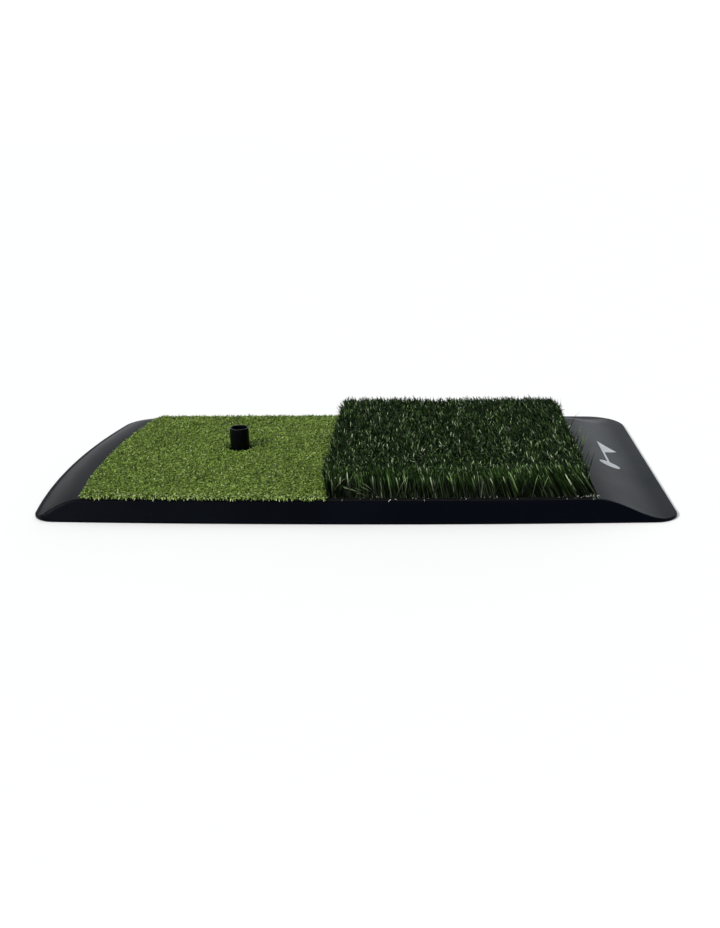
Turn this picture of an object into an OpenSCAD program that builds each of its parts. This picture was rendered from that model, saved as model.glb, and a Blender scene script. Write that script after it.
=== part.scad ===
// Golf hitting mat: a moulded rubber base that carries a strip of short fairway turf
// and a strip of tall rough turf, with a hollow rubber tee pushed up from below.
// X runs along the mat, Y from the player's side to the far side, Z up.
// The origin is on the floor, under the middle of the base.

/* [Base] */
// Length of the base, end to end
mat_l = 640; // [600:5:700]
// Depth of the base, front to back
mat_d = 380; // [365:5:410]
// Height of the flat top that carries the turf
base_h = 21; // [16:0.5:26]
// Thickness of the thin outer lip
lip_h = 3; // [2:0.5:5]
// How far the two long sides bulge at the middle
side_bow = 7.5; // [2:0.5:12]
// Radius of the curved left end
end_r = 865; // [700:5:1200]
// Radius of the two front corners in plan
front_corner_r = 24; // [15:1:32]
// Radius of the two back corners in plan
back_corner_r = 42; // [34:1:50]

/* [Margins] */
// Width of the sloping margin at the curved left end
left_margin = 50; // [35:1:60]
// Width of the sloping margin at the straight right end
right_margin = 79; // [60:1:100]
// Width of the sloping margin along the back
back_margin = 78; // [65:1:90]
// Width of the flat lip outside the right and back slopes
lip_w = 12; // [4:1:20]
// How far the front wall leans back from foot to top
front_lean = 6.5; // [3:0.5:10]

/* [Turf] */
// X position of the seam between the two turfs
seam_x = -17; // [-60:1:60]
// Bare strip between the top of the front wall and the turf
turf_inset = 1.5; // [0.5:0.5:6]
// Thickness of the double-sided adhesive sheet
tape_t = 0.5; // [0.4:0.1:1]
// Thickness of the woven and latex-coated turf backing
backing_t = 2.5; // [1.5:0.5:4]
// Height of the short curled fairway pile above its backing
fairway_pile_h = 3; // [2:0.5:6]
// Height of the tall rough pile above its backing
rough_pile_h = 22.5; // [12:0.5:35]
// How far the rough pile leans in at its front edge
rough_front_lean = 14; // [4:1:18]
// How far the rough pile leans in at its back edge
rough_back_lean = 4; // [1:1:8]
// How far the rough pile leans in at its right end
rough_end_lean = 11; // [1:1:14]

/* [Tee] */
// X position of the tee
tee_x = -126.5; // [-150:0.5:-110]
// Y position of the tee
tee_y = -18; // [-45:1:5]
// Outer diameter of the tee's tube
tee_d = 21; // [16:0.5:24]
// Wall thickness of the tee's tube
tee_wall = 1.6; // [1.5:0.1:3]
// Height of the tee's rim above the floor
tee_top_z = 48; // [38:0.5:60]
// Diameter of the flange that keeps the tee from pulling out upwards
flange_d = 46; // [36:1:60]
// Thickness of that flange
flange_t = 3; // [2:0.5:4]

/* [Underside] */
// Width of the moulded grip grooves
groove_w = 4; // [2:0.5:8]
// Depth of the moulded grip grooves
groove_h = 1.5; // [0.5:0.5:2]
// Distance from one groove to the next
groove_pitch = 22; // [14:1:40]

/* [Print] */
// Height of the printed flag, measured along Y
print_l = 84; // [60:1:100]
// Thickness of the printed ink
ink_t = 0.3; // [0.2:0.1:0.5]
// Where the stick stands across the right margin: 0 at the turf, 1 at the outer edge
print_place = 0.42; // [0.3:0.02:0.5]

/* [Hidden] */

// Segments of a true round surface
round_fn = 180;
// Straight facets across a margin's slope
slope_steps = 12;
// Width of the flat lip outside the left slope
left_lip_w = 4;
// How much the flat lip thins towards its outer edge
lip_fall = 0.6;
// Reach of the cutters past the base
over = 30;

half_l = mat_l / 2;
half_d = mat_d / 2;
// Radius of the slightly bowed long sides
side_r = half_l * half_l / (2 * side_bow);
// The left end's arc bulges most a little in front of the middle
end_cx = end_r - half_l;
end_cy = -35;
// The turf's left cut is a flatter curve than the flat top's edge: its radius, the rubber left bare
// at its crown, and how far its crown stands in front of the end's
cut_r = end_r + 35;
cut_inset = 6.8;
cut_forward = 37;
// Radius of the rounded top edge of the front wall
brow_r = 3;

// Edges of the flat top that carries the turf
turf_front = -half_d + front_lean + turf_inset;
turf_back = half_d - back_margin - turf_inset;
turf_right = half_l - right_margin;
tape_z = base_h;
backing_z = tape_z + tape_t;
pile_z = backing_z + backing_t;
// Gap between the two turfs at the seam
seam_gap = 0.4;

// Clearance round the tee's tube in the rubber and in the softer turf
tee_gap = 0.3;
turf_hole_gap = 1.5;
// Pocket in the underside that takes the flange
pocket_d = flange_d + 4;
pocket_h = flange_t + 1;
flange_z = pocket_h - flange_t;
// Plain rubber left round the base's edge and round the tee's pocket on the underside
groove_border = 28;
pocket_border = 12;

// Printed flag: the stick, the pennant on it, and the oval at its foot
stick_w = print_l * 0.032;
flag_w = print_l * 0.21;
flag_h = print_l * 0.46;
green_w = print_l * 0.26;
green_squash = 0.75;

// Share of the drop from the flat top to the lip that is left at fraction t of a slope
function round_slope(t) = cos(90 * t);
function s_slope(t) = 0.5 + 0.5 * cos(180 * t);

// Section of a slope: fractions of the drop become points from x = start to x = start + width
function slope_points(shares, start, width) =
    [for (i = [0:slope_steps]) [start + width * i / slope_steps, lip_h + (base_h - lip_h) * shares[i]]];
round_shares = [for (i = [0:slope_steps]) round_slope(i / slope_steps)];
s_shares = [for (i = [0:slope_steps]) s_slope(i / slope_steps)];
right_slope = slope_points(s_shares, turf_right, right_margin - lip_w);

// Plan of the base with sharp corners: three arcs and one straight end
module sharp_plan() {
    intersection() {
        translate([end_cx, end_cy]) circle(r = end_r, $fn = 720);
        translate([0, side_r - half_d]) circle(r = side_r, $fn = 2880);
        translate([0, half_d - side_r]) circle(r = side_r, $fn = 2880);
        translate([-half_l - over, -half_d - over]) square([mat_l + over, mat_d + 2 * over]);
    }
}

// The back corners are rounded first, and the tighter front ones with a second pass
module base_plan() {
    offset(r = front_corner_r, $fn = 96)
        offset(delta = -front_corner_r) {
            offset(r = back_corner_r, $fn = 96) offset(delta = -back_corner_r) sharp_plan();
            intersection() {
                sharp_plan();
                translate([-half_l - over, -half_d - over]) square([mat_l + 2 * over, half_d + over]);
            }
        }
}

// What is cut away above a slope: its section, closed well outside and above the base
function cut_section(slope, outer) =
    concat(slope, [[outer, lip_h - lip_fall], [outer, base_h + over], [slope[0][0], base_h + over]]);

// Cut above the curved left margin, turned about the centre of the end's arc
module left_cut() {
    slope = slope_points(round_shares, end_r - left_margin, left_margin - left_lip_w);
    translate([end_cx, end_cy, 0])
        rotate_extrude($fn = 720) polygon(cut_section(slope, end_r + over));
}

// Cut above the straight right margin
module right_cut() {
    translate([0, half_d + over, 0])
        rotate([90, 0, 0])
            linear_extrude(mat_d + 2 * over) polygon(cut_section(right_slope, half_l + over));
}

// Cut above the back margin, which follows the bowed back edge
module back_cut() {
    slope = slope_points(s_shares, side_r - back_margin, back_margin - lip_w);
    translate([0, half_d - side_r, 0])
        rotate_extrude($fn = 2880) polygon(cut_section(slope, side_r + over));
}

// Cut in front of the leaning front wall, with a rounded brow, along the bowed front edge
module front_cut() {
    brow_x = side_r - front_lean - brow_r;
    brow = [for (a = [0:18:72]) [brow_x + brow_r * sin(a), base_h - brow_r + brow_r * cos(a)]];
    translate([0, side_r - half_d, 0])
        rotate_extrude($fn = 2880)
            polygon(concat([[brow_x - 1, base_h + over], [brow_x - 1, base_h]], brow,
                           [[side_r, lip_h / 2], [side_r + over, lip_h / 2], [side_r + over, base_h + over]]));
}

// Grip grooves across the underside, kept off the edge and off the tee's pocket
module grip_grooves() {
    count = floor((mat_l / 2 - groove_border) / groove_pitch);
    translate([0, 0, -1])
        linear_extrude(groove_h + 1)
            difference() {
                intersection() {
                    offset(delta = -groove_border) sharp_plan();
                    for (i = [-count:count])
                        translate([i * groove_pitch - groove_w / 2, -half_d]) square([groove_w, mat_d]);
                }
                translate([tee_x, tee_y]) circle(d = pocket_d + 2 * pocket_border, $fn = round_fn);
            }
}

module base_tray() {
    color("#1c1d20")
        difference() {
            linear_extrude(base_h) base_plan();
            left_cut();
            right_cut();
            back_cut();
            front_cut();
            grip_grooves();
            translate([tee_x, tee_y, -1])
                cylinder(d = tee_d + 2 * tee_gap, h = base_h + 2, $fn = round_fn);
            translate([tee_x, tee_y, -1])
                cylinder(d = pocket_d, h = pocket_h + 1, $fn = round_fn);
        }
}

// Plan of the flat top: the left arc and the bowed front cut the turf to follow the base
module turf_plan() {
    intersection() {
        translate([cut_r - half_l + left_margin + cut_inset, end_cy - cut_forward]) circle(r = cut_r, $fn = 720);
        translate([0, side_r - half_d]) circle(r = side_r - front_lean - turf_inset, $fn = 2880);
        translate([-half_l, turf_front - 1]) square([half_l + turf_right, turf_back - turf_front + 1]);
    }
}

module fairway_plan() {
    difference() {
        intersection() {
            turf_plan();
            translate([-half_l, -half_d]) square([half_l + seam_x - seam_gap / 2, mat_d]);
        }
        translate([tee_x, tee_y]) circle(d = tee_d + 2 * turf_hole_gap, $fn = round_fn);
    }
}

module rough_plan() {
    intersection() {
        turf_plan();
        translate([seam_x + seam_gap / 2, -half_d]) square([mat_l, mat_d]);
    }
}

module fairway_tape() {
    color("#26241f") translate([0, 0, tape_z]) linear_extrude(tape_t) fairway_plan();
}

module fairway_backing() {
    color("#141414") translate([0, 0, backing_z]) linear_extrude(backing_t) fairway_plan();
}

module fairway_pile() {
    color("#5f7a34") translate([0, 0, pile_z]) linear_extrude(fairway_pile_h) fairway_plan();
}

module rough_tape() {
    color("#26241f") translate([0, 0, tape_z]) linear_extrude(tape_t) rough_plan();
}

module rough_backing() {
    color("#141414") translate([0, 0, backing_z]) linear_extrude(backing_t) rough_plan();
}

// The tall pile leans in towards its tips on the three open sides
module rough_pile() {
    left = seam_x + seam_gap / 2;
    depth_section = [[turf_front - 1, 0], [turf_front - 1 + rough_front_lean, rough_pile_h],
                     [turf_back - rough_back_lean, rough_pile_h], [turf_back, 0]];
    length_section = [[left, 0], [left, rough_pile_h],
                      [turf_right - rough_end_lean, rough_pile_h], [turf_right, 0]];
    color("#27351c")
        translate([0, 0, pile_z])
            intersection() {
                linear_extrude(rough_pile_h) rough_plan();
                translate([0, half_d, 0]) rotate([90, 0, 0]) linear_extrude(mat_d) polygon(length_section);
                translate([-half_l, 0, 0]) rotate([90, 0, 90]) linear_extrude(mat_l) polygon(depth_section);
            }
}

// Hollow tube on a wide flange, turned about its own axis
module rubber_tee() {
    outer_r = tee_d / 2;
    bore_r = outer_r - tee_wall;
    // The rim's outer edge is chamfered, and the flange's edge is rounded off by a chamfer too
    edge = 0.6;
    color("#0b0d0f")
        translate([tee_x, tee_y, 0])
            rotate_extrude($fn = round_fn)
                polygon([[bore_r, flange_z], [flange_d / 2 - edge, flange_z],
                         [flange_d / 2, flange_z + edge], [flange_d / 2, flange_z + flange_t],
                         [outer_r, flange_z + flange_t], [outer_r, tee_top_z - edge],
                         [outer_r - edge, tee_top_z], [bore_r, tee_top_z]]);
}

// Plan of a plain flag on a stick, along +Y, standing on an oval that stands for the green
module flag_plan() {
    foot = asin(stick_w / green_w);
    oval = [for (a = [foot:(360 - 2 * foot) / 60:360.01 - foot])
                [-green_w / 2 * sin(a), green_w / 2 * green_squash * cos(a)]];
    polygon(concat([[stick_w / 2, print_l - flag_h], [flag_w, print_l - flag_h / 2],
                    [-stick_w / 2, print_l]], oval));
}

// Ink on the right margin's slope: the slope's surface lifted by the ink's thickness
module flag_print() {
    skin = concat([for (p = right_slope) [p[0], p[1] + ink_t]],
                  [for (i = [slope_steps:-1:0]) right_slope[i]]);
    color("#c9ccd0")
        intersection() {
            translate([turf_right + right_margin * print_place, -print_l * 0.5, 0])
                linear_extrude(base_h + 1) flag_plan();
            translate([0, half_d, 0]) rotate([90, 0, 0]) linear_extrude(mat_d) polygon(skin);
        }
}

base_tray();
fairway_tape();
fairway_backing();
fairway_pile();
rough_tape();
rough_backing();
rough_pile();
rubber_tee();
flag_print();
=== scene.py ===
"""Looks of the golf hitting mat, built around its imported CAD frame. All lengths are metres."""

import math

import bmesh
import bpy
import numpy as np
from mathutils import Matrix, Vector


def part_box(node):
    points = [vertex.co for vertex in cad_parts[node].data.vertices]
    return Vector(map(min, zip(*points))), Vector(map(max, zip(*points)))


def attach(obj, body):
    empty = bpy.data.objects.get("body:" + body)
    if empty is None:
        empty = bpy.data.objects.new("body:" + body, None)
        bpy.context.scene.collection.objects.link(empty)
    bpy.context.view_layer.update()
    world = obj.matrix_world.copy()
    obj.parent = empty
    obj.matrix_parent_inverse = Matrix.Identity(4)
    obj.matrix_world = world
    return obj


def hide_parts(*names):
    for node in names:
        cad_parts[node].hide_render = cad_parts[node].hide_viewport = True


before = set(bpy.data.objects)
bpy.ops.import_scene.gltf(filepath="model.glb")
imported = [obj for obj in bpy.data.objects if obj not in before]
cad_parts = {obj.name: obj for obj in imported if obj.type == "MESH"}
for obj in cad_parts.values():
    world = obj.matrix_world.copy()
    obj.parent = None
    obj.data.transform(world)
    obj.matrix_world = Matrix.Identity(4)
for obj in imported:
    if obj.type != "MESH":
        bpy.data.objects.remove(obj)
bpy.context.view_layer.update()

MM = 0.001
BODY, TEE_BODY = "mat", "tee"

# ---------------------------------------------------------------- camera, light and floor


# The photo's camera: where it stood, how far it was turned left, tipped down and rolled, and its lens
CAMERA_AT = (0.076, -1.1865, 0.3828)
YAW, PITCH, ROLL = math.radians(3.445), math.radians(17.87), math.radians(-1.171)
LENS_MM, SENSOR_MM = 43.24, 36
CLIP_NEAR, CLIP_FAR = 0.05, 80

ROOM_COLOUR = (0.91, 0.965, 1.0, 1)
BACKDROP_STRENGTH = 1.15
SUN_STRENGTH, SUN_SPREAD, SUN_COLOUR = 3.2, math.radians(12), (1, 0.985, 0.955)
SUN_WAY = (0.64, 0.56, -0.53)
FLOOR_REACH, FLOOR_DROP = 14, 0.0003
FLOOR_COLOUR = (0.80, 0.785, 0.78, 1)
RANGE_KEYS = ("From Min", "From Max", "To Min", "To Max")


def turned_axes(yaw, pitch, roll):
    """Right, up and forward of a camera that looks along +Y, turned left, tipped down and rolled."""
    right = Vector((math.cos(yaw), math.sin(yaw), 0))
    level = Vector((-math.sin(yaw), math.cos(yaw), 0))
    up = Vector((0, 0, 1))
    forward = level * math.cos(pitch) - up * math.sin(pitch)
    up = up * math.cos(pitch) + level * math.sin(pitch)
    rolled_right = right * math.cos(roll) + up * math.sin(roll)
    rolled_up = up * math.cos(roll) - right * math.sin(roll)
    return rolled_right, rolled_up, forward


def make_camera():
    data = bpy.data.cameras.new("camera")
    data.lens, data.sensor_width = LENS_MM, SENSOR_MM
    data.clip_start, data.clip_end = CLIP_NEAR, CLIP_FAR
    right, up, forward = turned_axes(YAW, PITCH, ROLL)
    turn = Matrix((right, up, -forward)).transposed().to_4x4()
    cam = bpy.data.objects.new("camera", data)
    cam.matrix_world = Matrix.Translation(CAMERA_AT) @ turn
    bpy.context.scene.collection.objects.link(cam)
    bpy.context.scene.camera = cam


def make_world():
    """Pale up to just above the horizon, bright paper low behind, a soft ceiling, and dim between them."""
    world = bpy.data.worlds.new("studio")
    world.use_nodes = True
    tree = world.node_tree
    way = tree.nodes.new("ShaderNodeTexCoord").outputs["Generated"]

    def spread(value, numbers):
        n = tree.nodes.new("ShaderNodeMapRange")
        tree.links.new(value, n.inputs["Value"])
        for key, number in zip(RANGE_KEYS, numbers):
            n.inputs[key].default_value = number
        return n.outputs["Result"]

    def glow(direction, *numbers):
        """Strength from how far a ray leans along a direction."""
        lean = tree.nodes.new("ShaderNodeVectorMath")
        lean.operation = "DOT_PRODUCT"
        lean.inputs[1].default_value = direction
        tree.links.new(way, lean.inputs[0])
        return spread(lean.outputs["Value"], numbers)

    def joined_by(operation, a, b):
        n = tree.nodes.new("ShaderNodeMath")
        n.operation = operation
        tree.links.new(a, n.inputs[0])
        tree.links.new(b, n.inputs[1])
        return n.outputs["Value"]

    low = glow((0, 0, 1), 0.085, 0.125, 1.12, 0.0)
    behind = glow((0.2, 1.0, -1.5), 0.25, 0.85, 0.4, 2.1)
    paper = joined_by("MULTIPLY", behind, glow((1, 0, 0), -0.6, -0.25, 0.04, 1.0))
    ceiling = glow((-0.1, 0.1, 1), 0.45, 0.95, 0.10, 1.30)
    brightest = joined_by("MAXIMUM", joined_by("MAXIMUM", low, paper), ceiling)
    # The camera itself sees white paper all round
    seen = tree.nodes.new("ShaderNodeLightPath").outputs["Is Camera Ray"]
    shown = joined_by("MAXIMUM", brightest, spread(seen, (0, 1, 0, BACKDROP_STRENGTH)))
    background = tree.nodes["Background"]
    tree.links.new(shown, background.inputs["Strength"])
    background.inputs["Color"].default_value = ROOM_COLOUR
    bpy.context.scene.world = world


def make_sun():
    sun = bpy.data.lights.new("key", "SUN")
    sun.energy, sun.angle, sun.color = SUN_STRENGTH, SUN_SPREAD, SUN_COLOUR
    lamp = bpy.data.objects.new("key", sun)
    lamp.rotation_euler = Vector(SUN_WAY).to_track_quat("-Z", "Y").to_euler()
    bpy.context.scene.collection.objects.link(lamp)


def make_floor():
    me = bpy.data.meshes.new("floor")
    corners = [(x * FLOOR_REACH, y * FLOOR_REACH, 0) for x, y in ((-1, -1), (1, -1), (1, 1), (-1, 1))]
    me.from_pydata(corners, [], [(0, 1, 2, 3)])
    floor = bpy.data.objects.new("floor", me)
    floor.location.z = -FLOOR_DROP
    mat = bpy.data.materials.new("floor_paper")
    mat.use_nodes = True
    p = mat.node_tree.nodes["Principled BSDF"]
    p.inputs["Base Color"].default_value = FLOOR_COLOUR
    p.inputs["Roughness"].default_value = 0.9
    p.inputs["Specular IOR Level"].default_value = 0.1
    me.materials.append(mat)
    bpy.context.scene.collection.objects.link(floor)


bpy.context.scene.view_settings.view_transform = "Standard"
make_camera()
make_world()
make_sun()
make_floor()

# ---------------------------------------------------------------- materials


class Shader:
    """A Principled material whose nodes are added by short calls."""

    def __init__(self, name, roughness=0.5, specular=0.5):
        self.mat = bpy.data.materials.new(name)
        self.mat.use_nodes = True
        self.tree = self.mat.node_tree
        self.bsdf = self.tree.nodes["Principled BSDF"]
        self.bsdf.inputs["Roughness"].default_value = roughness
        self.bsdf.inputs["Specular IOR Level"].default_value = specular
        self.coords = self.tree.nodes.new("ShaderNodeTexCoord").outputs["Object"]

    def node(self, kind, **inputs):
        n = self.tree.nodes.new(kind)
        for key, value in inputs.items():
            self.feed(n.inputs[key], value)
        return n

    def feed(self, socket, value):
        if isinstance(value, bpy.types.NodeSocket):
            self.tree.links.new(value, socket)
        else:
            socket.default_value = value

    def noise(self, scale, detail=3, rough=0.55, stretch=None):
        n = self.node("ShaderNodeTexNoise", Scale=scale, Detail=detail, Roughness=rough)
        source = self.coords
        if stretch:
            mapping = self.node("ShaderNodeMapping", Vector=self.coords)
            mapping.inputs["Scale"].default_value = stretch
            source = mapping.outputs["Vector"]
        self.tree.links.new(source, n.inputs["Vector"])
        return n.outputs["Fac"]

    def ramp(self, fac, *stops):
        n = self.tree.nodes.new("ShaderNodeValToRGB")
        ramp = n.color_ramp
        while len(ramp.elements) < len(stops):
            ramp.elements.new(0.5)
        for element, (place, colour) in zip(ramp.elements, stops):
            element.position = place
            element.color = (*colour, 1)
        self.feed(n.inputs["Fac"], fac)
        return n.outputs["Color"]

    def spread(self, value, low, high, to_low, to_high):
        n = self.node("ShaderNodeMapRange", Value=value)
        for key, number in zip(RANGE_KEYS, (low, high, to_low, to_high)):
            self.feed(n.inputs[key], number)
        return n.outputs["Result"]

    def mix(self, kind, fac, a, b):
        n = self.tree.nodes.new("ShaderNodeMix")
        n.data_type, n.blend_type = "RGBA", kind
        self.feed(n.inputs["Factor"], fac)
        self.feed(n.inputs["A"], a)
        self.feed(n.inputs["B"], b)
        return n.outputs["Result"]

    def attribute(self, name):
        n = self.tree.nodes.new("ShaderNodeAttribute")
        n.attribute_name = name
        return n.outputs["Fac"]

    def bump(self, height, strength, distance, under=None):
        n = self.node("ShaderNodeBump", Strength=strength, Distance=distance, Height=height)
        if under is not None:
            self.tree.links.new(under, n.inputs["Normal"])
        return n.outputs["Normal"]

    def finish(self, colour=None, roughness=None, normal=None, fallback=None):
        if colour is not None:
            self.tree.links.new(colour, self.bsdf.inputs["Base Color"])
        if roughness is not None:
            self.tree.links.new(roughness, self.bsdf.inputs["Roughness"])
        if normal is not None:
            self.tree.links.new(normal, self.bsdf.inputs["Normal"])
        if fallback is not None:
            self.bsdf.inputs["Base Color"].default_value = (*fallback, 1)
            self.mat.diffuse_color = (*fallback, 1)
        return self.mat


def moulded_rubber(name, dark, light, rough, specular, grain=1400):
    """Matt moulded rubber: a fine grain, cloudy flow marks and a little dust."""
    s = Shader(name, specular=specular)
    clouds = s.noise(9, 4, 0.6)
    fine = s.noise(grain, 2)
    colour = s.ramp(clouds, (0.3, dark), (0.7, light))
    specks = s.ramp(s.noise(620, 1), (0.70, (0, 0, 0)), (0.76, (1, 1, 1)))
    colour = s.mix("MIX", s.spread(specks, 0, 1, 0, 0.25), colour, (0.012, 0.014, 0.017, 1))
    roughness = s.spread(clouds, 0.25, 0.75, rough[0], rough[1])
    normal = s.bump(fine, 0.22, 0.00012)
    normal = s.bump(s.noise(55, 3), 0.10, 0.0008, normal)
    return s.finish(colour, roughness, normal, fallback=light)


def fibre(name, tones, reach, painted_root_shade, painted_tip_light, rough, specular, patch):
    """Synthetic grass fibre: each has a tone of its own, with painted shade darkening it towards the root and
    painted light brightening its tip.
    """
    s = Shader(name, specular=specular)
    colour = s.ramp(s.attribute("tone"), *tones)
    # Painted shade towards the root and painted light on the tip, by the place along the fibre
    painted_shade_and_tip_light = s.spread(s.attribute("along"), reach[0], reach[1], painted_root_shade, painted_tip_light)
    colour = s.mix("MULTIPLY", 1.0, colour, painted_shade_and_tip_light)
    clouds = s.spread(s.noise(30, 3), 0.3, 0.7, 1 - patch, 1 + patch)
    colour = s.mix("MULTIPLY", 1.0, colour, clouds)
    roughness = s.spread(s.attribute("tone"), 0, 1, rough[0], rough[1])
    return s.finish(colour, roughness, fallback=tones[len(tones) // 2][1])


RUBBER = moulded_rubber("base_rubber_moulded", dark=(0.0002, 0.0006, 0.0022), light=(0.0006, 0.0014, 0.0036),
                        rough=(0.38, 0.46), specular=0.036)
TEE_RUBBER = moulded_rubber("tee_rubber_moulded", dark=(0.0006, 0.0009, 0.0014), light=(0.0014, 0.0019, 0.0028),
                            rough=(0.26, 0.34), specular=0.09, grain=900)

FAIRWAY_TONES = (
    (0.0, (0.055, 0.105, 0.012)),
    (0.3, (0.140, 0.225, 0.028)),
    (0.6, (0.260, 0.380, 0.060)),
    (0.85, (0.450, 0.580, 0.165)),
    (1.0, (0.690, 0.790, 0.450)),
)
FAIRWAY = fibre("fairway_fibre_curled", FAIRWAY_TONES, reach=(0.15, 0.80), painted_root_shade=0.04, painted_tip_light=0.98,
                rough=(0.55, 0.42), specular=0.10, patch=0.12)
ROUGH_TONES_AND_GLINTS = (
    (0.0, (0.002, 0.006, 0.001)),
    (0.35, (0.007, 0.017, 0.004)),
    (0.65, (0.027, 0.058, 0.012)),
    # The two palest stops are painted highlights, taken by the pale tenth of the blades as glints
    (0.85, (0.100, 0.160, 0.052)),
    (1.0, (0.400, 0.470, 0.300)),
)
ROUGH = fibre("rough_fibre_tall", ROUGH_TONES_AND_GLINTS, reach=(0.50, 0.97), painted_root_shade=0.16, painted_tip_light=1.65,
              rough=(0.45, 0.30), specular=0.055, patch=0.15)


def thatch_material(name, dark, light):
    """Matted fibre between the blades' roots, kept dark as painted shade of the pile above it."""
    s = Shader(name, roughness=0.85, specular=0.08)
    colour = s.ramp(s.noise(900, 3, 0.7), (0.3, dark), (0.7, light))
    return s.finish(colour, None, s.bump(s.noise(1100, 2), 0.8, 0.0006), fallback=light)


def backing_material():
    """Latex-coated woven backing: a fine weave under a lumpy dark coat."""
    s = Shader("backing_coated", roughness=0.75, specular=0.06)
    weave = s.noise(1200, 2, 0.5, (1, 1, 3))
    colour = s.ramp(weave, (0.35, (0.001, 0.0015, 0.002)), (0.75, (0.006, 0.0065, 0.007)))
    roughness = s.spread(weave, 0.3, 0.7, 0.85, 0.6)
    return s.finish(colour, roughness, s.bump(weave, 0.6, 0.0005), fallback=(0.01, 0.01, 0.011))


def tape_material():
    """Double-sided adhesive film: dark carrier with a faint smeared glue."""
    s = Shader("tape_adhesive", roughness=0.5, specular=0.1)
    smear = s.noise(260, 3, 0.6, (1, 3, 1))
    colour = s.ramp(smear, (0.3, (0.003, 0.003, 0.003)), (0.8, (0.014, 0.012, 0.010)))
    roughness = s.spread(smear, 0.3, 0.7, 0.35, 0.7)
    return s.finish(colour, roughness, s.bump(smear, 0.3, 0.0002), fallback=(0.02, 0.019, 0.017))


def thread_material():
    """Pale backing thread, each with a tone of its own."""
    s = Shader("frayed_thread", roughness=0.7, specular=0.3)
    tones = ((0.0, (0.10, 0.12, 0.07)), (0.6, (0.32, 0.34, 0.28)), (1.0, (0.62, 0.63, 0.60)))
    colour = s.ramp(s.attribute("tone"), *tones)
    return s.finish(colour, s.spread(s.attribute("tone"), 0, 1, 0.8, 0.6), fallback=(0.3, 0.32, 0.27))


def ink_material():
    """Screen-printed ink: pale grey, a little worn through on the grain."""
    s = Shader("ink_printed", roughness=0.55, specular=0.3)
    worn = s.ramp(s.noise(1500, 2), (0.28, (0.10, 0.105, 0.115)), (0.40, (0.50, 0.51, 0.53)))
    clouds = s.spread(s.noise(60, 3), 0.3, 0.7, 0.85, 1.05)
    colour = s.mix("MULTIPLY", 1.0, worn, clouds)
    roughness = s.spread(s.noise(300, 2), 0.3, 0.7, 0.5, 0.65)
    return s.finish(colour, roughness, s.bump(s.noise(1400, 2), 0.2, 0.0001), fallback=(0.45, 0.46, 0.48))


# Thatch colours are darkened as painted shade down among the roots
FAIRWAY_THATCH_SHADED = thatch_material("fairway_thatch_shaded", (0.010, 0.018, 0.003), (0.045, 0.070, 0.010))
ROUGH_THATCH_SHADED = thatch_material("rough_thatch_shaded", (0.0015, 0.003, 0.001), (0.006, 0.012, 0.004))
BACKING, TAPE, THREAD, INK = backing_material(), tape_material(), thread_material(), ink_material()

# ---------------------------------------------------------------- mesh helpers


def make_mesh(name, verts, faces, material, smooth=True):
    """An object from an array of points and one of equal-sided faces, or a list of mixed faces."""
    me = bpy.data.meshes.new(name)
    if isinstance(faces, np.ndarray):
        sides = faces.shape[1]
        me.vertices.add(len(verts))
        me.vertices.foreach_set("co", np.asarray(verts, np.float32).ravel())
        me.loops.add(faces.size)
        me.loops.foreach_set("vertex_index", faces.astype(np.int32).ravel())
        me.polygons.add(len(faces))
        me.polygons.foreach_set("loop_start", np.arange(0, faces.size, sides, dtype=np.int32))
        me.polygons.foreach_set("loop_total", np.full(len(faces), sides, np.int32))
        me.update(calc_edges=True)
    else:
        me.from_pydata([tuple(v) for v in verts], [], faces)
    me.polygons.foreach_set("use_smooth", np.full(len(me.polygons), smooth))
    me.materials.append(material)
    piece = bpy.data.objects.new(name, me)
    bpy.context.scene.collection.objects.link(piece)
    return piece


def place(piece, body, slot, *nodes):
    """Rides the piece on a body, in place of the nodes. slot is not used."""
    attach(piece, body)
    if nodes:
        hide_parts(*nodes)
    return piece


def closed_rings(rings, count):
    """Quads between stacked closed loops of count points each."""
    i = np.arange(count)
    j = (i + 1) % count
    first = np.stack([i, j, count + j, count + i], 1)
    return np.concatenate([first + r * count for r in range(rings - 1)])


# ---------------------------------------------------------------- shape of the base

base_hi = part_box("base_tray")[1]
HALF_L, HALF_D = base_hi.x, base_hi.y
TOP_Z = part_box("fairway_tape")[0].z
rough_lo, rough_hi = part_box("rough_backing")
fair_lo, fair_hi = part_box("fairway_backing")
PILE_Z = rough_hi.z
TURF_RIGHT, TURF_BACK = rough_hi.x, rough_hi.y
SEAM_X = (rough_lo.x + fair_hi.x) / 2
tee_lo, tee_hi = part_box("rubber_tee")
TEE = (tee_lo + tee_hi) / 2
FLANGE_R, TUBE_R, TUBE_WALL = (tee_hi.x - tee_lo.x) / 2, 10.5 * MM, 1.6 * MM

# Sizes as the CAD source states them, where the boxes of the frame don't show them
BOW = 7.5 * MM
END_R, END_CY = 865 * MM, -35 * MM
END_CX = END_R - HALF_L
SIDE_R = HALF_L**2 / (2 * BOW)
LIP_H, LIP_FALL = 3 * MM, 0.6 * MM
LEFT_MARGIN, LEFT_LIP = 50 * MM, 4 * MM
RIGHT_MARGIN = HALF_L - TURF_RIGHT
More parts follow.
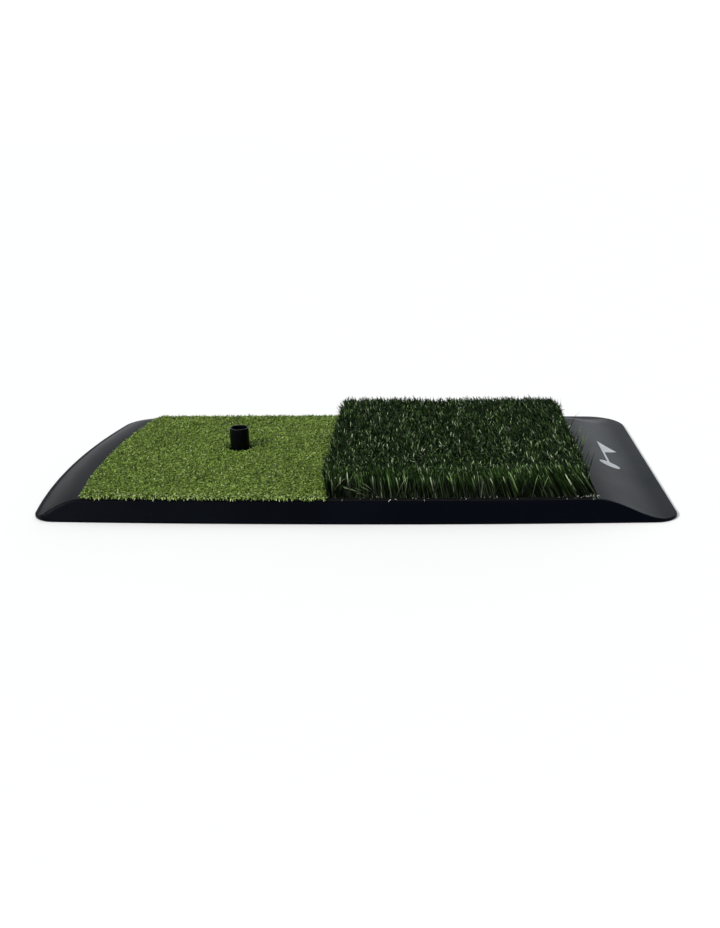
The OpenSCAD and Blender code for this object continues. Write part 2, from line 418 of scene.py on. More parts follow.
# SLOPE_LIP is the flat lip below both the back slope and the right one
BACK_MARGIN, SLOPE_LIP = 78 * MM, 12 * MM
FRONT_LEAN, BROW_R, BROW_TURN = 6.5 * MM, 3 * MM, math.radians(75)
TURF_INSET = 1.5 * MM
TURF_FRONT_R = SIDE_R - FRONT_LEAN - TURF_INSET
CUT_FLATTER, CUT_INSET, CUT_FORWARD = 35 * MM, 6.8 * MM, 37 * MM
FRONT_CORNER_R, BACK_CORNER_R = 24 * MM, 42 * MM
BORE_GAP, POCKET_GAP, POCKET_DEPTH = 0.3 * MM, 2 * MM, 4 * MM
FRONT_C = np.array([0, SIDE_R - HALF_D])
BACK_C = -FRONT_C
END_C = np.array([END_CX, END_CY])


def left_depth(x, y):
    return END_R - np.hypot(x - END_CX, y - END_CY)


def front_depth(x, y):
    return SIDE_R - np.hypot(x, y - FRONT_C[1])


def back_depth(x, y):
    return SIDE_R - np.hypot(x, y - BACK_C[1])


def margin_drop(depth, margin, lip, share):
    """Drop below the flat top at a depth inside the edge, over a slope and then a flat lip."""
    t = np.clip((margin - depth) / (margin - lip), 0, 1)
    fall = LIP_FALL * np.clip((lip - depth) / (lip + 30 * MM), 0, 1)
    return (TOP_Z - LIP_H) * (1 - share(t)) + fall


def front_drop(depth):
    """Drop over the leaning front wall and the rounded brow above it."""
    wall_top = TOP_Z - BROW_R + BROW_R * math.cos(BROW_TURN)
    wall_depth = FRONT_LEAN + BROW_R * (1 - math.sin(BROW_TURN))
    wall = LIP_H / 2 + (wall_top - LIP_H / 2) * np.clip(depth, 0, None) / wall_depth
    reach = np.clip((FRONT_LEAN + BROW_R - depth) / BROW_R, 0, 1)
    brow = TOP_Z - BROW_R + BROW_R * np.sqrt(np.clip(1 - reach**2, 0, 1))
    return TOP_Z - np.where(depth < wall_depth, wall, brow)


def soft_max(a, b, blend):
    """The larger drop, rounded over where the two are alike, but unchanged on the flat top and on the lip."""
    high = np.maximum(a, b)
    off_top = np.clip(np.minimum(a, b) / (0.25 * blend), 0, 1)
    off_lip = np.clip((TOP_Z - LIP_H - high) / (4 * MM), 0, 1)
    k = blend * off_top * off_lip + 1e-9
    h = np.clip(k - np.abs(a - b), 0, None) / k
    return high + h * h * k / 4


def surface_z(x, y):
    """Height of the base's upper face."""
    def quarter(t):
        return np.cos(np.pi / 2 * t)

    def wave(t):
        return 0.5 + 0.5 * np.cos(np.pi * t)

    left = margin_drop(left_depth(x, y), LEFT_MARGIN, LEFT_LIP, quarter)
    right = margin_drop(HALF_L - x, RIGHT_MARGIN, SLOPE_LIP, wave)
    back = margin_drop(back_depth(x, y), BACK_MARGIN, SLOPE_LIP, wave)
    drop = soft_max(soft_max(left, back, 5 * MM), right, 7 * MM)
    drop = soft_max(drop, front_drop(front_depth(x, y)), 1.6 * MM)
    return TOP_Z - drop


def arc(centre, radius, a, b, count):
    """Points of an arc from point a to point b."""
    start = math.atan2(a[1] - centre[1], a[0] - centre[0])
    turn = math.atan2(b[1] - centre[1], b[0] - centre[0]) - start
    turn = (turn + math.pi) % (2 * math.pi) - math.pi
    angles = start + turn * np.linspace(0, 1, count)
    return np.stack([centre[0] + radius * np.cos(angles), centre[1] + radius * np.sin(angles)], 1)


def toward(centre, point, radius):
    d = np.asarray(point, float) - centre
    return centre + d / np.linalg.norm(d) * radius


def corner_centre(side, radius, left):
    """Centre of a corner's arc, inside both of the edges that it joins. side is -1 in front and 1 behind."""
    side_c = FRONT_C if side < 0 else BACK_C
    x, y = HALF_L - radius, 0.0
    for _ in range(60):
        y = side_c[1] + side * math.sqrt((SIDE_R - radius) ** 2 - x * x)
        if left:
            x = END_CX - math.sqrt((END_R - radius) ** 2 - (y - END_CY) ** 2)
    return np.array([x, y])


def resample(points, count):
    """count + 1 points at equal steps along a line of points, and their share of the way."""
    steps = np.r_[0, np.cumsum(np.linalg.norm(np.diff(points, axis=0), axis=1))]
    share = np.linspace(0, 1, count + 1)
    at = share * steps[-1]
    return np.stack([np.interp(at, steps, points[:, 0]), np.interp(at, steps, points[:, 1])], 1), share


def base_loops():
    """The base's outline and the flat top's edge as matched loops of points.

    Both run counterclockwise from the front left corner.
    """
    fl = corner_centre(-1, FRONT_CORNER_R, True)
    fr = corner_centre(-1, FRONT_CORNER_R, False)
    br = corner_centre(1, BACK_CORNER_R, False)
    bl = corner_centre(1, BACK_CORNER_R, True)
    ends = {
        "fl": (toward(END_C, fl, END_R), toward(FRONT_C, fl, SIDE_R), fl, FRONT_CORNER_R),
        "fr": (toward(FRONT_C, fr, SIDE_R), np.array([HALF_L, fr[1]]), fr, FRONT_CORNER_R),
        "br": (np.array([HALF_L, br[1]]), toward(BACK_C, br, SIDE_R), br, BACK_CORNER_R),
        "bl": (toward(BACK_C, bl, SIDE_R), toward(END_C, bl, END_R), bl, BACK_CORNER_R),
    }
    half = {}
    for key, (a, b, c, r) in ends.items():
        whole = arc(c, r, a, b, 81)
        half[key] = (whole[:41], whole[40:])
    inner_end_r = END_R - LEFT_MARGIN
    in_fr = np.array([TURF_RIGHT, FRONT_C[1] - math.sqrt(TURF_FRONT_R**2 - TURF_RIGHT**2)])
    x, y = -HALF_L, 0.0
    for _ in range(60):
        y = FRONT_C[1] - math.sqrt(TURF_FRONT_R**2 - x * x)
        x = END_CX - math.sqrt(inner_end_r**2 - (y - END_CY) ** 2)
    in_fl = np.array([x, y])
    in_br = np.array([TURF_RIGHT, TURF_BACK])
    in_bl = np.array([END_CX - math.sqrt(inner_end_r**2 - (TURF_BACK - END_CY) ** 2), TURF_BACK])

    def edge(first, line, last):
        """An edge of the outline, from the middle of one corner to the middle of the next."""
        return np.concatenate([half[first][1], line, half[last][0]])

    front = arc(FRONT_C, SIDE_R, ends["fl"][1], ends["fr"][0], 600)[1:-1]
    back = arc(BACK_C, SIDE_R, ends["br"][1], ends["bl"][0], 600)[1:-1]
    left = arc(END_C, END_R, ends["bl"][1], ends["fl"][0], 400)[1:-1]
    sides = (
        (edge("fl", front, "fr"), arc(FRONT_C, TURF_FRONT_R, in_fl, in_fr, 400), 320),
        (np.concatenate([half["fr"][1], half["br"][0]]), np.stack([in_fr, in_br]), 190),
        (edge("br", back, "bl"), np.stack([in_br, in_bl]), 320),
        (edge("bl", left, "fl"), arc(END_C, inner_end_r, in_bl, in_fl, 300), 200),
    )
    outer, inner = [], []
    for line, target, count in sides:
        points, share = resample(line, count)
        matched, at = resample(target, 2000)
        goal = np.stack([np.interp(share, at, matched[:, 0]), np.interp(share, at, matched[:, 1])], 1)
        outer.append(points[:-1])
        inner.append(goal[:-1])
    return np.concatenate(outer), np.concatenate(inner)


OUTER, INNER = base_loops()


def cutter_box(lo, hi):
    corners = [(x, y, z) for z in (lo[2], hi[2]) for y in (lo[1], hi[1]) for x in (lo[0], hi[0])]
    faces = [(0, 2, 3, 1), (4, 5, 7, 6), (0, 1, 5, 4), (2, 6, 7, 3), (0, 4, 6, 2), (1, 3, 7, 5)]
    return corners, faces


def cutter_tube(radius, z0, z1, sides=96):
    a = np.arange(sides) * 2 * math.pi / sides
    ring = np.stack([TEE.x + radius * np.cos(a), TEE.y + radius * np.sin(a)], 1)
    verts = [(x, y, z0) for x, y in ring] + [(x, y, z1) for x, y in ring]
    faces = [(i, (i + 1) % sides, sides + (i + 1) % sides, sides + i) for i in range(sides)]
    faces += [tuple(range(sides))[::-1], tuple(range(sides, 2 * sides))]
    return verts, faces


def joined(parts):
    verts, faces = [], []
    for v, f in parts:
        n = len(verts)
        verts += list(v)
        faces += [tuple(i + n for i in face) for face in f]
    return verts, faces


def carve(piece, parts):
    """Cuts closed shapes out of the piece."""
    verts, faces = joined(parts)
    me = bpy.data.meshes.new("cutter")
    me.from_pydata(verts, [], faces)
    cutter = bpy.data.objects.new("cutter", me)
    bpy.context.scene.collection.objects.link(cutter)
    mod = piece.modifiers.new("carve", "BOOLEAN")
    mod.operation, mod.object, mod.solver = "DIFFERENCE", cutter, "MANIFOLD"
    apply_modifiers(piece)
    bpy.data.objects.remove(cutter)


def apply_modifiers(piece):
    dg = bpy.context.evaluated_depsgraph_get()
    made = bpy.data.meshes.new_from_object(piece.evaluated_get(dg))
    piece.modifiers.clear()
    piece.data = made


def groove_cutters():
    """Grip grooves across the underside, kept off the edge and off the tee's pocket."""
    border, pocket, width, depth, pitch = 28 * MM, 37 * MM, 4 * MM, 1.5 * MM, 22 * MM
    count = int((HALF_L - border) / pitch)
    parts = []
    for i in range(-count, count + 1):
        x = i * pitch
        if float(left_depth(x, 0)) < border:
            continue
        front = FRONT_C[1] - math.sqrt(SIDE_R**2 - x * x) + border
        back = -front
        reach = (END_R - border) ** 2 - (x - END_CX) ** 2
        if reach < (back - END_CY) ** 2:
            back = min(back, END_CY + math.sqrt(reach))
        spans = [(front, back)]
        off = abs(x - TEE.x)
        if off < pocket:
            gap = math.sqrt(pocket**2 - off**2)
            spans = [(front, TEE.y - gap), (TEE.y + gap, back)]
        for a, b in spans:
            parts.append(cutter_box((x - width / 2, a, -MM), (x + width / 2, b, depth)))
    return parts


def build_base():
    """The moulded base: rings of points from the underside up over the edge and in to the flat top."""
    count = len(OUTER)
    ray = INNER - OUTER
    length = np.linalg.norm(ray, axis=1, keepdims=True)
    unit = ray / length
    edge = np.array([0.0, 0.12, 0.3, 0.55, 0.9, 1.3]) * MM
    edge_r, edge_round, least_z = 0.9 * MM, 0.7, 1.0 * MM
    steps, cap_share = 54, 0.97
    rings = []
    # Underside and the small round where it meets the edge
    for inset, z in ((0.9, 0.0), (0.4, 0.12), (0.1, 0.4), (0.0, 0.9)):
        flat = OUTER + unit * inset * MM
        rings.append(np.c_[flat, np.full(count, z * MM)])
    along = [np.full((count, 1), d) for d in edge]
    along += [edge[-1] + (length - edge[-1]) * k / steps for k in range(1, steps + 1)]
    for d in along:
        flat = OUTER + unit * d
        z = surface_z(flat[:, 0], flat[:, 1])
        inset = np.clip(1 - d[:, 0] / edge_r, 0, 1)
        z = z - edge_r * edge_round * (1 - np.sqrt(np.clip(1 - inset**2, 0, 1)))
        rings.append(np.c_[flat, np.maximum(z, least_z)])
    centre = INNER.mean(0)
    shrunk = centre + (INNER - centre) * cap_share
    rings.append(np.c_[shrunk, np.full(count, TOP_Z)])
    verts = np.concatenate(rings)
    quads = closed_rings(len(rings), count).tolist()
    last = (len(rings) - 1) * count
    faces = quads + [list(range(count))[::-1], [last + i for i in range(count)]]
    base = make_mesh("base_shell", verts, faces, RUBBER)
    carve(base, groove_cutters() + [cutter_tube(TUBE_R + BORE_GAP, -MM, TOP_Z + MM)])
    carve(base, [cutter_tube(FLANGE_R + POCKET_GAP, -MM, POCKET_DEPTH)])
    base.data.polygons.foreach_set("use_smooth", np.ones(len(base.data.polygons), bool))
    base.data.set_sharp_from_angle(angle=math.radians(50))
    return place(base, BODY, "base_rubber", "base_tray")


build_base()

# ---------------------------------------------------------------- turf beds


def front_line(x):
    """Front edge of the turf at x."""
    return FRONT_C[1] - np.sqrt(TURF_FRONT_R * TURF_FRONT_R - x * x)


def left_line(y):
    """Left edge of the turf at y: a flatter cut than the flat top's edge."""
    r = END_R + CUT_FLATTER
    return r - HALF_L + LEFT_MARGIN + CUT_INSET - np.sqrt(r * r - (y - END_CY + CUT_FORWARD) ** 2)


def fairway_spot(u, v):
    """Point of the fairway strip from shares of its length and depth."""
    y = fair_lo.y + v * (TURF_BACK - fair_lo.y)
    for _ in range(3):
        x = left_line(y) + u * (SEAM_X - left_line(y))
        y = front_line(x) + v * (TURF_BACK - front_line(x))
    return x, y


def rough_spot(u, v):
    """Point of the rough strip from shares of its length and depth."""
    x = SEAM_X + u * (TURF_RIGHT - SEAM_X)
    y = front_line(x) + v * (TURF_BACK - front_line(x))
    return x, y


def edge_loop(spot, step):
    """Closed loop of points round a strip, counterclockwise."""
    side_length = 0.26
    n = max(8, int(side_length / step))
    t = np.arange(n) / n
    zero, one = np.zeros(n), np.ones(n)
    lines = [spot(t, zero), spot(one, t), spot(1 - t, one), spot(zero, 1 - t)]
    return np.concatenate([np.stack(line, 1) for line in lines])


def strip_slab(name, spot, z0, z1, material, slot, node, rng, hole):
    """A cut sheet with slightly ragged sides, and a hole round the tee where hole is a radius."""
    loop = edge_loop(spot, 1.3 * MM)
    centre = loop.mean(0)
    out = loop - centre
    out /= np.linalg.norm(out, axis=1, keepdims=True)
    rows = []
    for k, share in enumerate((0.0, 0.3, 0.7, 1.0)):
        jag = rng.uniform(-0.30, 0.12, len(loop)) * MM * (1 if 0 < share < 1 else 0.6)
        rows.append(np.c_[loop + out * jag[:, None], np.full(len(loop), z0 + (z1 - z0) * share)])
    verts = np.concatenate(rows)
    count = len(loop)
    faces = closed_rings(4, count).tolist()
    faces += [list(range(count))[::-1], [3 * count + i for i in range(count)]]
    piece = make_mesh(name, verts, faces, material)
    if hole:
        carve(piece, [cutter_tube(hole, z0 - MM, z1 + MM)])
    piece.data.polygons.foreach_set("use_smooth", np.zeros(len(piece.data.polygons), bool))
    return place(piece, BODY, slot, node)


HOLE_R = TUBE_R + 1.5 * MM
strip_slab("fairway_backing_sheet", fairway_spot, fair_lo.z, fair_hi.z, BACKING, "backing", "fairway_backing",
           np.random.default_rng(11), HOLE_R)
strip_slab("rough_backing_sheet", rough_spot, rough_lo.z, rough_hi.z, BACKING, "backing", "rough_backing",
           np.random.default_rng(12), None)
for node in ("fairway_tape", "rough_tape"):
    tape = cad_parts[node]
    tape.data.materials.clear()
    tape.data.materials.append(TAPE)


def thatch(name, spot, inset, columns, rows, low, high, rng, material, slot, node, hole):
    """Matted fibre between the blades' roots, coloured dark as painted shade of the pile."""
    shares = (np.linspace(inset, 1 - inset, n) for n in (columns, rows))
    u, v = np.meshgrid(*shares, indexing="ij")
    x, y = spot(u, v)
    z = rng.uniform(low, high, x.shape)
    z[0], z[-1], z[:, 0], z[:, -1] = PILE_Z, PILE_Z, PILE_Z, PILE_Z
    verts = np.stack([x, y, z], -1).reshape(-1, 3)
    i, j = np.meshgrid(np.arange(columns - 1), np.arange(rows - 1), indexing="ij")
    a = (i * rows + j).ravel()
    faces = np.stack([a, a + rows, a + rows + 1, a + 1], 1)
    if hole:
        mid = verts[faces].mean(1)
        faces = faces[np.hypot(mid[:, 0] - TEE.x, mid[:, 1] - TEE.y) > hole]
    return place(make_mesh(name, verts, faces, material), BODY, slot, node)


thatch("fairway_thatch", fairway_spot, 0.004, 130, 150, PILE_Z + 0.3 * MM, PILE_Z + 1.3 * MM,
       np.random.default_rng(21), FAIRWAY_THATCH_SHADED, "fairway_fibre", "fairway_pile", HOLE_R + 2.0 * MM)
thatch("rough_thatch", rough_spot, 0.012, 110, 120, PILE_Z + 2 * MM, PILE_Z + 6 * MM,
       np.random.default_rng(22), ROUGH_THATCH_SHADED, "rough_fibre", "rough_pile", None)

# ---------------------------------------------------------------- blades


def ribbon_pieces(name, points, side, widths, tone, material, slot, node, pieces, lit=0.0):
    """Flat tapering fibres as a few meshes.

    points is (fibres, points along each, 3), and lit lifts a fibre's painted root shade, as painted light on
    blades that stand in the open.
    """
    order = np.argsort(points[:, 0, 0])
    n, steps = points.shape[:2]
    along = lit + np.linspace(0, 1, steps) * (1 - lit)
    along = np.broadcast_to(along, (n, steps))
    for k, chunk in enumerate(np.array_split(order, pieces)):
        p, w = points[chunk], widths[chunk][..., None] / 2
        s = side[chunk][:, None, :]
        verts = np.stack([p - s * w, p + s * w], 2).reshape(-1, 3)
        first = np.arange(len(chunk))[:, None] * 2 * steps + np.arange(steps - 1)[None, :] * 2
        faces = np.stack([first, first + 1, first + 3, first + 2], -1).reshape(-1, 4)
        piece = make_mesh(f"{name}_{k + 1}", verts, faces, material)
        marks = {"tone": np.repeat(tone[chunk], 2 * steps), "along": np.repeat(along[chunk], 2, axis=1).ravel()}
        for label, values in marks.items():
            attribute = piece.data.attributes.new(label, "FLOAT", "POINT")
            attribute.data.foreach_set("value", values.astype(np.float32))
        place(piece, BODY, slot, node)


def walk(root, theta, phi, step):
    """Points along fibres that start at root, from each step's tilt off vertical, heading and length."""
    way = np.stack([np.sin(theta) * np.cos(phi), np.sin(theta) * np.sin(phi), np.cos(theta)], -1)
    return np.concatenate([root[:, None], root[:, None] + np.cumsum(way * step[..., None], 1)], 1)


def even_steps(length, steps):
    return np.repeat(length[:, None] / steps, steps, 1)


def on_pile(x, y):
    """Roots on top of the backing."""
    return np.stack([x, y, np.full(len(x), PILE_Z)], 1)


def broad_side(phi, sway, rng):
    """Unit vectors across fibres of heading phi, tipped by a random sway."""
    side = np.stack([-np.sin(phi), np.cos(phi), rng.normal(0, sway, len(phi))], 1)
    return side / np.linalg.norm(side, axis=1, keepdims=True)


def tapering(low, high, n, shares, rng):
    """Widths along n fibres: each fibre's own, in millimetres, times the shares."""
    return rng.uniform(low, high, n)[:, None] * np.array(shares)[None] * MM


def jittered(spacing, width, depth, rng):
    """Shares of a strip's length and depth for roots on an uneven grid."""
    columns, rows = int(width / spacing), int(depth / spacing)
    u, v = np.meshgrid((np.arange(columns) + 0.5) / columns, (np.arange(rows) + 0.5) / rows, indexing="ij")
    u = u + rng.uniform(-0.6, 0.6, u.shape) / columns
    v = v + rng.uniform(-0.6, 0.6, v.shape) / rows
    return np.clip(u.ravel(), 0.001, 0.999), np.clip(v.ravel(), 0.001, 0.999)


def build_fairway():
    """Short curled fibres, shorter round the tee and hanging over the cut sides."""
    rng = np.random.default_rng(31)
    u, v = jittered(1.02 * MM, SEAM_X - fair_lo.x, TURF_BACK - fair_lo.y, rng)
    x, y = fairway_spot(u, v)
    keep = np.hypot(x - TEE.x, y - TEE.y) > HOLE_R + 1.0 * MM
    inner = np.count_nonzero(keep)
    u, v, out = u[keep], v[keep], np.zeros(inner)
    # The front, left and back cuts: fibres, where they stand and where they head
    cuts = (
        (850, (0, 1), (0, 0.004), -np.pi / 2),
        (500, (0, 0.005), (0, 1), np.pi),
        (500, (0, 1), (0.996, 1), np.pi / 2),
    )
    for count, us, vs, heading in cuts:
        u, v = np.r_[u, rng.uniform(*us, count)], np.r_[v, rng.uniform(*vs, count)]
        out = np.r_[out, np.full(count, heading)]
    x, y = fairway_spot(u, v)
    n, steps = len(x), 3
    fringe = np.arange(n) >= inner
    from_tee = np.hypot(x - TEE.x, y - TEE.y) - HOLE_R
    length = rng.uniform(3.8, 6.2, n) * MM * np.clip(0.15 + from_tee / (7 * MM), 0, 1)
    lean = np.radians(rng.uniform(5, 45, n))[:, None]
    curl = np.radians(rng.uniform(18, 50, (n, steps))).cumsum(1)
    theta = lean + curl - np.radians(18)
    start = np.where(fringe, out + rng.normal(0, 0.7, n), rng.uniform(0, 2 * np.pi, n))
    theta[fringe] += np.radians(rng.uniform(5, 30, fringe.sum()))[:, None]
    phi = start[:, None] + rng.normal(0, 0.6, (n, steps)).cumsum(1)
    points = walk(on_pile(x, y), theta, phi, even_steps(length, steps))
    side = broad_side(phi[:, 1], 0.35, rng)
    widths = tapering(0.65, 1.0, n, (0.9, 1.0, 0.85, 0.3), rng)
    tone = rng.beta(1.9, 3.0, n)
    # A paler row of fibres along the front
    pale_and_glint = rng.random(n) < np.where(v < 0.012, 0.35, 0.03)
    tone[pale_and_glint] = rng.uniform(0.8, 0.98, pale_and_glint.sum())
    ribbon_pieces("fairway_fibres", points, side, widths, tone, FAIRWAY, "fairway_fibre", "fairway_pile", 3)


def rough_lean(u, x, y):
    """How far the tips stand from their roots: the pile was combed to the left and its open sides lean in."""
    near_front = np.clip(1 - (y - rough_lo.y) / (28 * MM), 0, 1)
    near_back = np.clip(1 - (TURF_BACK - y) / (30 * MM), 0, 1)
    sideways = 1.5 + 3 * u + 8 * u**4 + near_front * (1 + 3 * u * u) + 2 * u * near_back
    return np.stack([-sideways, 14 * near_front - 2 * near_back, 0 * u], 1) * MM


BLADE_SHARES = np.array([0.30, 0.24, 0.17, 0.12, 0.10, 0.07])
FRONT_SHARE = 0.022  # of the rough strip's depth, where the blades of the front row stand


def build_rough():
    """Tall blades in tufts, bent over at their tips, with a more upright front row that is painted lighter, as
    painted light on the open front side.
    """
    rng = np.random.default_rng(41)
    u, v = jittered(1.30 * MM, TURF_RIGHT - SEAM_X, TURF_BACK - rough_lo.y, rng)
    # More blades along the front, the back, the seam and the right
    edges = (
        (3600, (0, 1), (0, FRONT_SHARE)),
        (500, (0, 1), (0.99, 1)),
        (700, (0, 0.010), (0, 1)),
        (700, (0.99, 1), (0, 1)),
    )
    for count, us, vs in edges:
        u, v = np.r_[u, rng.uniform(*us, count)], np.r_[v, rng.uniform(*vs, count)]
    x, y = rough_spot(u, v)
    n, steps = len(x), len(BLADE_SHARES)
    at_front = v < FRONT_SHARE
    length = rng.uniform(21.5, 27, n) * np.where(at_front, rng.uniform(0.72, 1.04, n), 1) * MM
    # Blades of one tuft share a heading. The two primes give each square of the grid its own number
    pitch = 6 * MM
    tuft = (np.floor(x / pitch) * 7919 + np.floor(y / pitch) * 104729).astype(np.int64)
    names, index = np.unique(tuft, return_inverse=True)
    heading = rng.uniform(0, 2 * np.pi, len(names))[index]
    phi = (heading + rng.normal(0, 1.0, n))[:, None] + rng.normal(0, 0.30, (n, steps)).cumsum(1)
    curl = rng.uniform(10, 105, n)[:, None] * np.array([0.0, 0.05, 0.16, 0.42, 0.78, 1.0])
    curl[at_front] *= 0.35
    tilt = (np.abs(rng.normal(0, 6, n)) * np.where(at_front, 0.5, 1))[:, None] + curl
    points = walk(on_pile(x, y), np.radians(tilt), phi, length[:, None] * BLADE_SHARES)
    lean = rough_lean(u, x, y)
    lean[:, :2] += rng.normal(0, 1.0, (n, 2)) * MM
    full_height = 22 * MM
    rise = (points[..., 2:] - PILE_Z) / full_height
    points = points + lean[:, None] * rise
    side = broad_side(phi[:, 3], 0.25, rng)
    widths = tapering(0.85, 1.35, n, (0.85, 1.0, 1.0, 1.0, 0.85, 0.6, 0.15), rng)
    # The front row's tone is raised as painted light on the open front side
    tone = rng.beta(1.5, 3.6, n) + np.where(at_front, 0.09, 0)
    # A tenth of the blades take the palest tones as painted highlights, glints among the pile
    pale_and_glint = rng.random(n) < 0.10
    tone[pale_and_glint] = rng.uniform(0.75, 1.0, pale_and_glint.sum())
    # lit lifts the front row's painted root shade, as painted light on its open side
    ribbon_pieces("rough_blades", points, side, widths, tone, ROUGH, "rough_fibre", "rough_pile", 4,
                  lit=np.where(at_front, rng.uniform(0.15, 0.60, n), 0)[:, None])


build_fairway()
build_rough()


def build_strays():
    """Loose blades that stand out at the rough's right side, its seam and its front."""
    rng = np.random.default_rng(51)
    # Blades, where they stand, heading and its scatter, tilt at the root and bend, in degrees
    groups = (
        (22, (0.985, 1.0), (0.20, 0.80), 0.2, 0.5, (8, 28), (5, 35)),
        (8, (0.985, 1.0), (0.85, 1.0), 2.6, 0.5, (8, 25), (5, 30)),
        (24, (0.0, 0.02), (0.0, 0.9), math.pi, 0.5, (5, 20), (5, 45)),
        (14, (0.0, 0.03), (0.0, 0.05), math.pi * 1.05, 0.5, (15, 35), (10, 45)),
        (40, (0.0, 1.0), (0.0, 0.010), math.pi / 2, 1.0, (12, 30), (5, 50)),
        (14, (0.04, 0.20), (0.0, 0.006), -math.pi * 0.92, 0.25, (20, 60), (10, 40)),
    )
    reaching = groups[-1][0]  # the last group is pale
    points, sides = [], []
    steps = 6
    for count, us, vs, heading, wide, tilt0, bend in groups:
        u, v = rng.uniform(*us, count), rng.uniform(*vs, count)
        x, y = rough_spot(u, v)
        s = (np.arange(steps) + 0.5) / steps
        phi = (heading + rng.normal(0, wide, count))[:, None] + rng.normal(0, 0.12, (count, steps)).cumsum(1)
        tilt = rng.uniform(*tilt0, count)[:, None] + rng.uniform(*bend, count)[:, None] * s[None] ** 1.5
        length = rng.uniform(21, 28, count) * MM
        points.append(walk(on_pile(x, y), np.radians(tilt), phi, even_steps(length, steps)))
        sides.append(broad_side(phi[:, 2], 0.25, rng))
    points, side = np.concatenate(points), np.concatenate(sides)
    n = len(points)
    widths = tapering(0.8, 1.2, n, (0.9, 1.0, 1.0, 0.95, 0.8, 0.5, 0.1), rng)
    tone = rng.uniform(0.25, 0.95, n)
    tone[-reaching:] = rng.uniform(0.8, 0.95, reaching)
    ribbon_pieces("rough_strays", points, side, widths, tone, ROUGH, "rough_fibre", "rough_pile", 1)


def build_threads():
    """Pale frayed ends of the woven backing along the front edge and at the right front corner."""
    rng = np.random.default_rng(61)
    groups = (
        (rough_spot, 40, (0.955, 1.0), (0.0, 0.006)),
        (rough_spot, 45, (0.02, 0.95), (0.0, 0.002)),
        (fairway_spot, 60, (0.0, 1.0), (0.0, 0.004)),
        (rough_spot, 14, (0.99, 1.0), (0.0, 0.3)),
    )
    roots = []
    for spot, count, us, vs in groups:
        x, y = spot(rng.uniform(*us, count), rng.uniform(*vs, count))
        roots.append(np.stack([x, y, rng.uniform(fair_lo.z + 1.2 * MM, PILE_Z + 0.6 * MM, count)], 1))
    root = np.concatenate(roots)
    n, steps = len(root), 4
    phi = (-np.pi / 2 + rng.normal(0, 0.9, n))[:, None] + rng.normal(0, 0.7, (n, steps)).cumsum(1)
    tilt = rng.uniform(50, 110, n)[:, None] + rng.normal(0, 30, (n, steps)).cumsum(1)
    length = rng.uniform(1.2, 3.6, n) * MM
    points = walk(root, np.radians(tilt), phi, even_steps(length, steps))
    side = broad_side(phi[:, 1], 0.5, rng)
    widths = tapering(0.35, 0.8, n, (1, 1, 0.9, 0.7, 0.4), rng)
    tone = rng.uniform(0, 1, n)
    ribbon_pieces("frayed_threads", points, side, widths, tone, THREAD, "backing", "rough_backing", 1)


build_strays()
build_threads()

# ---------------------------------------------------------------- tee


def lathe(name, profile, sides, material):
    """Closed profile of (radius, z) turned about the tee's axis."""
    a = np.arange(sides) * 2 * math.pi / sides
    r, z = np.array(profile).T
    x = TEE.x + r[None] * np.cos(a)[:, None]
    y = TEE.y + r[None] * np.sin(a)[:, None]
    verts = np.stack([x, y, np.broadcast_to(z, (sides, len(z)))], -1)
    n = len(profile)
    i, j = np.meshgrid(np.arange(sides), np.arange(n), indexing="ij")
    i2, j2 = (i + 1) % sides, (j + 1) % n
    faces = np.stack([i * n + j, i2 * n + j, i2 * n + j2, i * n + j2], -1).reshape(-1, 4)
    return make_mesh(name, verts.reshape(-1, 3), faces, material)


def fillet(cx, cz, radius, start, end, count=7):
    """Points of a rounding in a profile, from one angle to another in degrees."""
    angles = np.radians(np.linspace(start, end, count))
    return [(cx + radius * math.cos(t), cz + radius * math.sin(t)) for t in angles]


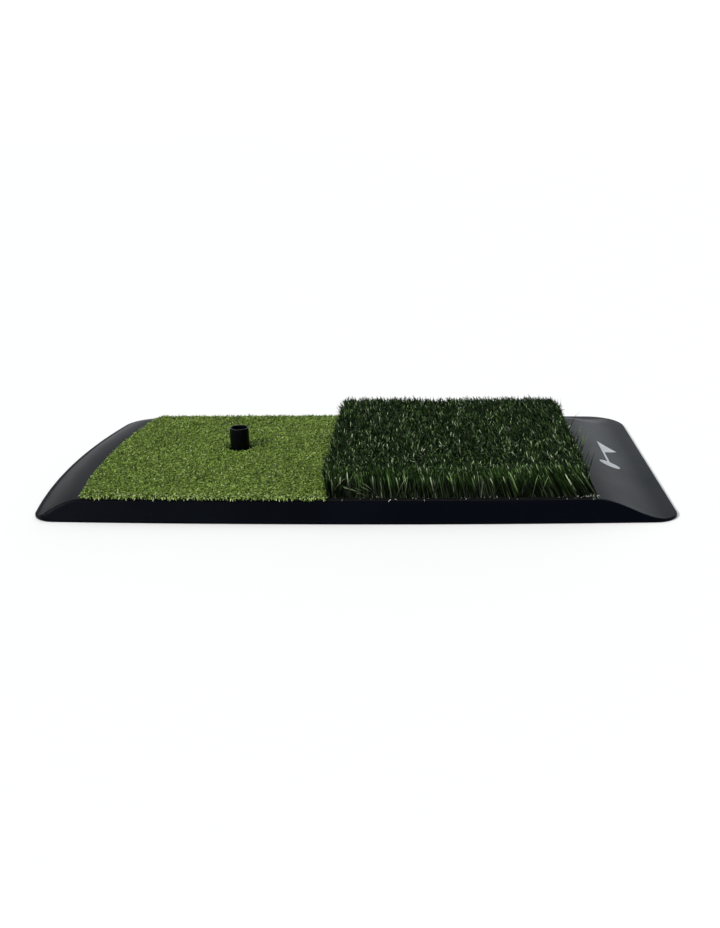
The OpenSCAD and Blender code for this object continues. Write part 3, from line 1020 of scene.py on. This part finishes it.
def build_tee():
    """The hollow tee with its flange below and a rounded rim."""
    outer, bore, flange = TUBE_R, TUBE_R - TUBE_WALL, FLANGE_R
    low, high = tee_lo.z, tee_hi.z
    flange_top = low + 3 * MM
    rim, foot, soft = 0.6 * MM, 1.6 * MM, 0.6 * MM
    profile = [(bore + 0.5 * MM, low)]
    profile += fillet(flange - soft, low + soft, soft, -90, 0)
    profile += fillet(flange - soft, flange_top - soft, soft, 0, 90)
    profile += fillet(outer + foot, flange_top + foot, foot, 270, 180)
    profile += [(outer, flange_top + (high - flange_top) * k / 8) for k in range(2, 8)]
    profile += fillet(outer - rim, high - rim, rim, 0, 90)
    profile += fillet(bore + rim, high - rim, rim, 90, 180)
    profile += [(bore, low + (high - low) * k / 8) for k in range(7, 0, -1)]
    profile += [(bore, low + 0.5 * MM)]
    tee = lathe("tee_tube", profile, 128, TEE_RUBBER)
    tee.data.set_sharp_from_angle(angle=math.radians(60))
    place(tee, TEE_BODY, "tee_rubber", "rubber_tee")


build_tee()

# ---------------------------------------------------------------- print


def build_print():
    """The printed flag laid on the smooth slope."""
    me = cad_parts["flag_print"].data.copy()
    bm = bmesh.new()
    bm.from_mesh(me)
    bmesh.ops.remove_doubles(bm, verts=bm.verts, dist=1e-6)
    xs = [v.co.x for v in bm.verts]
    ys = [v.co.y for v in bm.verts]
    for normal, values, step in ((Vector((1, 0, 0)), xs, 0.9 * MM), (Vector((0, 1, 0)), ys, 2.5 * MM)):
        at = min(values) + step
        while at < max(values):
            geom = bm.verts[:] + bm.edges[:] + bm.faces[:]
            bmesh.ops.bisect_plane(bm, geom=geom, plane_co=normal * at, plane_no=normal)
            at += step
    # The CAD's slope is flat facets. Points of the print's upper face stand proud of them
    facets, proud = 12, 0.15 * MM
    ink_top, ink_sunk = 0.22 * MM, -0.1 * MM
    for v in bm.verts:
        step = (v.co.x - TURF_RIGHT) / (RIGHT_MARGIN - SLOPE_LIP) * facets
        k = min(facets - 1, int(step))
        low, high = (LIP_H + (TOP_Z - LIP_H) * (0.5 + 0.5 * math.cos(math.pi * q / facets)) for q in (k, k + 1))
        skin = low + (high - low) * (step - k)
        smooth = float(surface_z(v.co.x, v.co.y))
        v.co.z = smooth + (ink_top if v.co.z > skin + proud else ink_sunk)
    bm.to_mesh(me)
    bm.free()
    me.materials.clear()
    me.materials.append(INK)
    piece = bpy.data.objects.new("flag_ink", me)
    bpy.context.scene.collection.objects.link(piece)
    me.polygons.foreach_set("use_smooth", np.ones(len(me.polygons), bool))
    me.set_sharp_from_angle(angle=math.radians(40))
    place(piece, BODY, "ink", "flag_print")


build_print()
